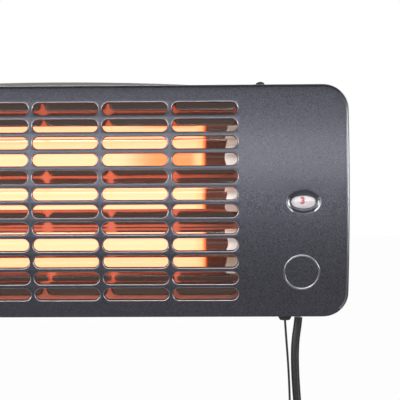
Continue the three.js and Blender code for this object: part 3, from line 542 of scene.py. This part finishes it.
# ---- reflector and end plates ----
# One bright rolled aluminium sheet behind the tubes, bent along its length so that the glow leaves
# through the slots, and the two plates that close its ends. The rolling leaves fine streaks along
# the sheet.
rolled = Finish("bright_rolled_aluminium", Metallic=1.0, Roughness=0.07)
streaks = rolled.noise(90, 4, (0.02, 1, 1))
rolled.set(Base_Color=rolled.mix(streaks, shade(238, 235, 228), shade(250, 248, 243)))
waves = rolled.noise(50, 1, (0.04, 1, 1)) * 1.5
scratches = rolled.noise(420, 2, (0.02, 1, 1)) * 0.3
rolled.bump(waves + scratches, 1.0, 0.0001)


def paint_nodes(finish, *names):
    for name in names:
        slots = nodes[name].material_slots
        for slot in slots:
            slot.material = finish.material
        if not slots:
            nodes[name].data.materials.append(finish.material)


paint_nodes(rolled, "end_plate_left", "end_plate_right")

# height and depth behind the cover's front of each bend, from the top edge to the lower edge
bends = [(0.0870, 0.03900), (0.0764, 0.04006), (0.0608, 0.04139), (0.0505, 0.04754),
         (0.0406, 0.04971), (0.0322, 0.04337), (0.0154, 0.04409), (0.0106, 0.04491),
         (0.0004, 0.04562), (-0.0067, 0.04547), (-0.0228, 0.04564), (-0.0346, 0.04541),
         (-0.0421, 0.04479), (-0.0467, 0.04804), (-0.0489, 0.05039), (-0.0676, 0.04039),
         (-0.0870, 0.03900)]
reflector_half = 0.1957
reflector_middle = (field_left + field_right) / 2
bpy.ops.object.select_all(action="DESELECT")
bpy.ops.mesh.primitive_grid_add(x_subdivisions=1, y_subdivisions=len(bends) - 1, size=2)
bent_sheet = bpy.context.object
bent_sheet.name = "bent_reflector"
for point in bent_sheet.data.vertices:
    height, depth = bends[round((point.co.y + 1) / 2 * (len(bends) - 1))]
    along = math.copysign(reflector_half, point.co.x)
    point.co = (reflector_middle + along, front_y + depth, height)
bent_sheet.data.flip_normals()
thick = bent_sheet.modifiers.new("thick", "SOLIDIFY")
thick.thickness = sheet
thick.offset = -1
bpy.ops.object.modifier_apply(modifier=thick.name)
bent_sheet.data.materials.append(rolled.material)
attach(bent_sheet, "heater_body")
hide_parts("reflector")

# ---- quartz tubes and heating coils ----
# Three tubes of satin quartz, 14 mm thick, each round a wound wire that glows. The glow fades to
# red and stops before the caps, where the wire runs on straight and cold.
tube_x = -0.0304
tube_y = -0.075
tube_thick = 0.014
tube_wall = 0.0012
tube_length = 0.385
glow_half = 0.1649
fade_start, fade_length = glow_half - 0.020, 0.0225
# along its right part the front of the top tube glows a deeper orange
cooler_start, cooler_end = 0.062, 0.098
cooler_y, cooler_depth = tube_y + 0.001, 0.003
cooler_left, cooler_gone = glow_half - 0.012, glow_half - 0.002
cold_start, cold_end = glow_half - 0.002, glow_half + 0.003
tube_heights = {"top": 0.035, "middle": 0.0, "bottom": -0.035}
for name, height in tube_heights.items():
    quartz = Finish(f"glowing_quartz_{name}", Roughness=0.3, Emission_Strength=2.4,
                    Specular_IOR_Level=0.3)
    along = (quartz.axis("X") - tube_x).size()
    cloud = quartz.noise(30, 3, (0.3, 1, 1))
    glow = quartz.node("ShaderNodeValToRGB", {"stops": [
        (0.0, (1.0, 0.352, 0.188, 1)), (0.55, (1.0, 0.340, 0.172, 1)),
        (0.80, (1.0, 0.280, 0.108, 1)), (0.905, (0.80, 0.100, 0.020, 1)),
        (0.955, (0.16, 0.020, 0.008, 1)), (1.0, (0.024, 0.008, 0.006, 1))]},
        {0: (along - fade_start) * (1 / fade_length)})
    if name == "top":
        cooler = (quartz.axis("X").between(cooler_start, cooler_end)
                  * (cooler_y - quartz.axis("Y")).between(0, cooler_depth))
        glow = quartz.mix(cooler * (1 - along.between(cooler_left, cooler_gone)),
                          glow, (0.80, 0.156, 0.052, 1))
    cold = along.between(cold_start, cold_end)
    quartz.set(Emission_Color=glow, Alpha=1 - cold * 0.55,
               Base_Color=quartz.mix(cloud, shade(78, 50, 42), shade(104, 72, 60)))
    bpy.ops.object.select_all(action="DESELECT")
    bpy.ops.mesh.primitive_cylinder_add(vertices=40, radius=tube_thick / 2, depth=tube_length,
                                        end_fill_type="NOTHING", location=(tube_x, tube_y, height),
                                        rotation=(0, math.pi / 2, 0))
    tube = bpy.context.object
    tube.name = f"tube_{name}"
    bpy.ops.object.transform_apply(location=True, rotation=True, scale=True)
    bore = tube.modifiers.new("bore", "SOLIDIFY")
    bore.thickness = tube_wall
    bore.offset = -1
    bpy.ops.object.modifier_apply(modifier=bore.name)
    bpy.ops.object.shade_smooth_by_angle(angle=math.radians(40))
    tube.data.materials.append(quartz.material)
    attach(tube, "heater_body")
    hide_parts(f"quartz_tube_{name}")

wire_fade, wire_cold = glow_half - 0.006, glow_half + 0.002
hot_wire = Finish("glowing_wire", Roughness=0.5, Emission_Strength=4.0)
hot = 1 - (hot_wire.axis("X") - tube_x).size().between(wire_fade, wire_cold)
hot_wire.set(Emission_Color=hot_wire.mix(hot, (0.004, 0.002, 0.001, 1), (1.0, 0.25, 0.05, 1)),
             Base_Color=hot_wire.mix(hot_wire.noise(500, 2),
                                     shade(70, 62, 58), shade(110, 100, 92)))
paint_nodes(hot_wire, *[f"heating_coil_{name}" for name in tube_heights])

# ---- number drum, window and numbers ----
# A white moulded drum turns behind the window and shows the step in red. The window is a clear
# moulded lens that sits in the cover's recess from behind.
drum_x, drum_y, drum_z, drum_radius = 0.2136, -0.089, 0.0003, 0.0136
white_moulding = Finish("white_moulding", Roughness=0.32)
white_moulding.set(Base_Color=white_moulding.mix(white_moulding.noise(300, 3),
                                                 shade(198, 191, 196), shade(212, 206, 211)))
paint_nodes(white_moulding, "indicator_drum", "terminal_block")
red_ink = Finish("red_ink", Roughness=0.4)
red_ink.set(Base_Color=red_ink.mix(red_ink.noise(900, 2), shade(152, 2, 16), shade(174, 8, 26)))
figures = "32103210"
first_turn = 0.06  # the printed figures stand a little above the middle of each step
figure_size, figure_swell = 0.0070, 0.00045
figure_x = drum_x - 0.0005
ink_radius = drum_radius + 0.00012
for place, figure in enumerate(figures):
    turn = math.tau * place / len(figures) + first_turn
    text = bpy.data.curves.new(f"figure_{place}", "FONT")
    text.body = figure
    text.size = figure_size
    text.offset = figure_swell
    text.align_x = "CENTER"
    text.align_y = "CENTER"
    printed = bpy.data.objects.new(f"figure_{place}", text)
    bpy.context.collection.objects.link(printed)
    bpy.ops.object.select_all(action="DESELECT")
    bpy.context.view_layer.objects.active = printed
    printed.select_set(True)
    bpy.ops.object.convert(target="MESH")
    printed = bpy.context.object
    start_edit(printed)
    bpy.ops.mesh.select_all(action="SELECT")
    bpy.ops.mesh.subdivide(number_cuts=3)
    bpy.ops.object.mode_set(mode="OBJECT")
    heights = [v.co.y for v in printed.data.vertices]
    middle = (max(heights) + min(heights)) / 2
    for v in printed.data.vertices:
        around = turn + (v.co.y - middle) / drum_radius
        v.co = (figure_x + v.co.x, drum_y - ink_radius * math.cos(around),
                drum_z + ink_radius * math.sin(around))
    printed.data.materials.append(red_ink.material)
    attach(printed, "number_drum")

clear = Finish("clear_moulding", Base_Color=shade(250, 250, 252), Roughness=0.06, Alpha=0.05,
               Specular_IOR_Level=0.5)
clear.bump(clear.noise(120, 2), 0.05, 0.0002)
paint_nodes(clear, "window_lens")

# ---- housing and wall bracket ----
# A pressed tray of painted steel sheet that closes the heater behind, and the bent plate that it
# tilts on. The bracket's warmer paint shows above the cover.
def finished(name, body, finish, angle=30, round_by=0.0):
    """A copy of a drawn piece with its faces joined and its edges a little rounded."""
    drawn = nodes[name]
    made = bpy.data.objects.new(f"{name}_finished", drawn.data.copy())
    made.data.transform(drawn.matrix_world)
    made.data.materials.clear()
    bpy.context.collection.objects.link(made)
    start_edit(made)
    bpy.ops.mesh.select_mode(type="VERT")
    bpy.ops.mesh.select_all(action="SELECT")
    bpy.ops.mesh.remove_doubles(threshold=2e-6)
    bpy.ops.mesh.dissolve_limited(angle_limit=math.radians(0.5))
    bpy.ops.object.mode_set(mode="OBJECT")
    if round_by:
        rounding = made.modifiers.new("rounding", "BEVEL")
        rounding.width = round_by
        rounding.segments = 2
        rounding.limit_method = "ANGLE"
        rounding.angle_limit = math.radians(35)
        bpy.ops.object.modifier_apply(modifier=rounding.name)
    bpy.ops.object.shade_smooth_by_angle(angle=math.radians(angle))
    made.data.materials.append(finish.material)
    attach(made, body)
    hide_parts(name)
    return made


housing_paint = Finish("grey_housing_paint", Metallic=0.4)
grain = housing_paint.noise(1600, 3)
housing_paint.set(Base_Color=housing_paint.mix(grain, shade(66, 67, 72), shade(98, 100, 106)),
                  Roughness=0.44 + grain * 0.1)
housing_paint.bump(grain, 0.15, 0.0002)
finished("rear_housing", "heater_body", housing_paint, angle=32)

bracket_paint = Finish("warm_grey_paint", Metallic=0.35)
grit = bracket_paint.noise(1500, 3)
bracket_paint.set(Base_Color=bracket_paint.mix(grit, shade(76, 74, 70), shade(104, 101, 96)),
                  Roughness=0.46 + grit * 0.1)
bracket_paint.bump(grit, 0.15, 0.0002)
finished("wall_bracket", "wall_mount", bracket_paint, angle=32)

# ---- end caps ----
# Unglazed white ceramic cups over the tubes' ends, with a neck that sits in the end plate's hole.
# They are slip cast and broken off the mould by hand, so each mouth is uneven.
white_ceramic = Finish("unglazed_white_ceramic", Roughness=0.55)
white_ceramic.set(Base_Color=white_ceramic.mix(white_ceramic.noise(140, 4), shade(236, 231, 224),
                                               shade(250, 248, 244)))
white_ceramic.bump(white_ceramic.noise(700, 3), 0.3, 0.0002)
mouth_wave = [0.9, 0.2, -0.5, 0.4, 1.0, 0.3, -0.2, 0.6]
waves_round = len(mouth_wave)
mouth_lip, mouth_reach, mouth_depth = 0.0008, 0.0010, 0.0021
for shift, (name, height) in enumerate(tube_heights.items()):
    for side, sign in (("left", -1), ("right", 1)):
        cap = finished(f"end_cap_{name}_{side}", "heater_body", white_ceramic,
                       round_by=0.0003)
        mouth = min(sign * (v.co.x - tube_x) for v in cap.data.vertices)
        for v in cap.data.vertices:
            if sign * (v.co.x - tube_x) < mouth + mouth_lip:
                around = math.atan2(v.co.z - height, v.co.y - tube_y) / math.tau
                turn = around * waves_round + shift * 3
                low = math.floor(turn)
                this, following = (mouth_wave[(low + step) % waves_round] for step in (0, 1))
                wave = this + (following - this) * (turn - low)
                v.co.x -= sign * (mouth_reach + mouth_depth * wave)

# ---- lugs, bolts, screws and the switch's metal parts ----
# Zinc-plated steel: two lugs riveted to the housing, the pivot bolts with their lock nuts and the
# switch's channel. The two dome-headed cover screws are dark, the switch's shaft and spring are
# bright spring steel, and the earth screw and the link wire are brass.
zinc = Finish("zinc_plate", Metallic=1.0)
spangle = zinc.node("ShaderNodeTexVoronoi", {}, {"Vector": zinc.place(), "Scale": 260.0})
zinc.set(Base_Color=zinc.mix(spangle, shade(150, 151, 152), shade(190, 191, 192)),
         Roughness=0.30 + spangle * 0.15)
for side in ("left", "right"):
    finished(f"hinge_lug_{side}", "heater_body", zinc, round_by=0.0002)
    finished(f"pivot_bolt_{side}", "wall_mount", zinc, round_by=0.0003)
    finished(f"pivot_nut_{side}", "wall_mount", zinc, round_by=0.0003)
paint_nodes(zinc, "switch_bracket")
dark_steel = Finish("dark_steel", Metallic=0.9, Roughness=0.42)
dark_steel.set(Base_Color=dark_steel.mix(dark_steel.noise(800, 2),
                                         shade(44, 43, 44), shade(72, 70, 70)))
for side in ("left", "right"):
    finished(f"cover_screw_{side}", "heater_body", dark_steel, angle=40)
spring_steel = Finish("spring_steel", Metallic=1.0, Roughness=0.25)
spring_steel.set(Base_Color=spring_steel.mix(spring_steel.noise(500, 2),
                                             shade(128, 130, 132), shade(168, 170, 172)))
paint_nodes(spring_steel, "drum_shaft", "lever_spring")
brass = Finish("brass", Metallic=1.0, Roughness=0.28)
brass.set(Base_Color=brass.mix(brass.noise(400, 3), shade(186, 158, 96), shade(212, 184, 118)))
paint_nodes(brass, "earth_screw", "link_wire")

# ---- bushing, gland, plug and knob ----
# Black mouldings: the bushing that the pull cord runs through, the ribbed gland, the plug with its
# two brass pins, the cord's knob, the hank's tie and the switch's parts.
black_moulding = Finish("black_moulding")
pores = black_moulding.noise(1400, 3)
black_moulding.set(Base_Color=black_moulding.mix(pores, shade(20, 20, 21), shade(40, 40, 42)),
                   Roughness=0.38 + pores * 0.14)
black_moulding.bump(pores, 0.2, 0.0002)
finished("cord_bushing", "heater_body", black_moulding, angle=50)
finished("cable_gland", "heater_body", black_moulding, angle=35)
plug = finished("plug_body", "hanging_lead", black_moulding, angle=35)
knob = finished("pull_knob", "hanging_cord", black_moulding, angle=50)
tie = finished("cable_tie", "hanging_lead", black_moulding, round_by=0.0003)
pins = [finished(f"plug_pin_{side}", "hanging_lead", brass, round_by=0.0006)
        for side in ("left", "right")]
paint_nodes(black_moulding, "ratchet_wheel", "pull_lever", "switch_body", "thermal_cutout")

# ---- mains lead ----
# A round rubber lead, 7 mm thick, that leaves the gland at the bottom of the housing. The spare
# length is folded into a tied hank, two turns side by side in two layers, and it ends at a plug.
lead_thick = 0.007
lead_y = -0.038
lead_x = 0.214
inner_bend = 0.0245
pitch = 0.0072
outer_bend = inner_bend + pitch
hank_x = lead_x - outer_bend
hank_top = -0.220
hank_foot = -0.280
layer = pitch / 2
plug_top = -0.335

route = [(lead_x, lead_y, -0.1028), (0.2136, lead_y, -0.108), (0.2116, lead_y, -0.121),
         (0.2109, lead_y, -0.134), (0.2112, lead_y, -0.150), (0.2123, lead_y, -0.168),
         (0.2136, lead_y, -0.184), (lead_x, lead_y - 0.0006, -0.1986)]
# the bend radius and layer of each run down on the right; the last run goes on to the plug
runs = [(outer_bend, -layer), (inner_bend, -layer), (inner_bend, layer), (outer_bend, layer)]
bend_steps = 14
hank_middle = (hank_top + hank_foot) / 2
for (radius, depth), (next_radius, next_depth) in zip(runs, runs[1:]):
    route.append((hank_x + radius, lead_y + depth, hank_top - 0.004))
    route.append((hank_x + radius, lead_y + depth, hank_middle))
    for step in range(bend_steps + 1):
        turn = math.pi * step / bend_steps
        route.append((hank_x + radius * math.cos(turn), lead_y + depth,
                      hank_foot - radius * math.sin(turn)))
    route.append((hank_x - radius, lead_y + depth, hank_middle))
    for step in range(bend_steps + 1):
        turn = math.pi * (1 - step / bend_steps)
        share = (step / bend_steps) ** 2 * (3 - 2 * step / bend_steps)
        between = radius + (next_radius - radius) * share
        route.append((hank_x + between * math.cos(turn),
                      lead_y + depth + (next_depth - depth) * share,
                      hank_top + between * math.sin(turn)))
route += [(lead_x, lead_y + layer, hank_middle), (lead_x, lead_y + layer, hank_foot),
          (lead_x, lead_y + 0.6 * layer, hank_foot - 0.018), (lead_x, lead_y, hank_foot - 0.036),
          (lead_x, lead_y, plug_top + 0.0003)]


def cord_tube(name, points, thick, fineness, sides):
    """A round cord of that thickness on one smooth line that the points guide."""
    line = bpy.data.curves.new(name, "CURVE")
    line.dimensions = "3D"
    line.bevel_depth = thick / 2
    line.bevel_resolution = sides
    line.use_fill_caps = True
    spline = line.splines.new("NURBS")
    spline.points.add(len(points) - 1)
    for point, place in zip(spline.points, points):
        point.co = (*place, 1)
    spline.order_u = 3
    spline.use_endpoint_u = True
    spline.resolution_u = fineness
    cord = bpy.data.objects.new(name, line)
    bpy.context.collection.objects.link(cord)
    return cord


rubber = Finish("black_lead_rubber", Roughness=0.42)
rubber.set(Base_Color=rubber.mix(rubber.noise(260, 4), shade(14, 14, 15), shade(30, 30, 32)))
rubber.bump(rubber.noise(900, 3), 0.25, 0.0002)

lead = cord_tube("lead", route, lead_thick, 4, 4)
lead.data.materials.append(rubber.material)
bpy.ops.object.select_all(action="DESELECT")
bpy.context.view_layer.objects.active = lead
lead.select_set(True)
sampled = lead.copy()
sampled.data = lead.data.copy()
sampled.data.bevel_depth = 0
bpy.context.collection.objects.link(sampled)
line_mesh = sampled.to_mesh()
sampled.to_mesh_clear()
bpy.data.objects.remove(sampled)
bpy.ops.object.convert(target="MESH")
lead = bpy.context.object
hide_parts("mains_cable", "cable_hank", "plug_cord")
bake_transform(lead)

# ---- pull cord ----
# A thin black twisted cord that hangs from the switch lever through the bushing, down to its knob.
# It bends a little below the bushing and hangs straight from there.
cord_thick = 0.0018
cord_y = -0.075
cord_route = [(0.2005, cord_y, -0.0990), (0.2007, cord_y, -0.102), (0.2015, cord_y, -0.114),
              (0.2030, cord_y, -0.134), (0.2042, cord_y, -0.158), (0.2048, cord_y, -0.190),
              (0.205, cord_y, -0.220), (0.205, cord_y, -0.250), (0.205, cord_y, -0.290),
              (0.205, cord_y, -0.3251)]
twist = Finish("black_twisted_cord", Roughness=0.7)
strand = twist.node("ShaderNodeTexWave", {"bands_direction": "DIAGONAL"},
                    {"Vector": twist.place(), "Scale": 420.0, "Distortion": 0.0})
twist.set(Base_Color=twist.mix(strand, shade(9, 8, 7), shade(30, 25, 23)))
twist.bump(strand, 0.5, 0.0003)
pull = cord_tube("pull", cord_route, cord_thick, 6, 2)
pull.data.materials.append(twist.material)
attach(pull, "hanging_cord")
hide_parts("pull_cord")

# ---- wiring ----
# The lead's end and the pull cord go on inside the housing. The heating coils are fed by wires in a
# woven glass sleeve, which run behind the reflector.
paint_nodes(rubber, "inner_cable")
paint_nodes(twist, "inner_cord")
sleeve = Finish("woven_glass_sleeve", Roughness=0.75)
weave = sleeve.node("ShaderNodeTexWave", {"bands_direction": "DIAGONAL"},
                    {"Vector": sleeve.place(), "Scale": 500.0})
sleeve.set(Base_Color=sleeve.mix(weave, shade(206, 200, 188), shade(232, 228, 218)))
sleeve.bump(weave, 0.4, 0.0002)
paint_nodes(sleeve, "return_wire", *[f"feed_wire_{name}" for name in tube_heights])
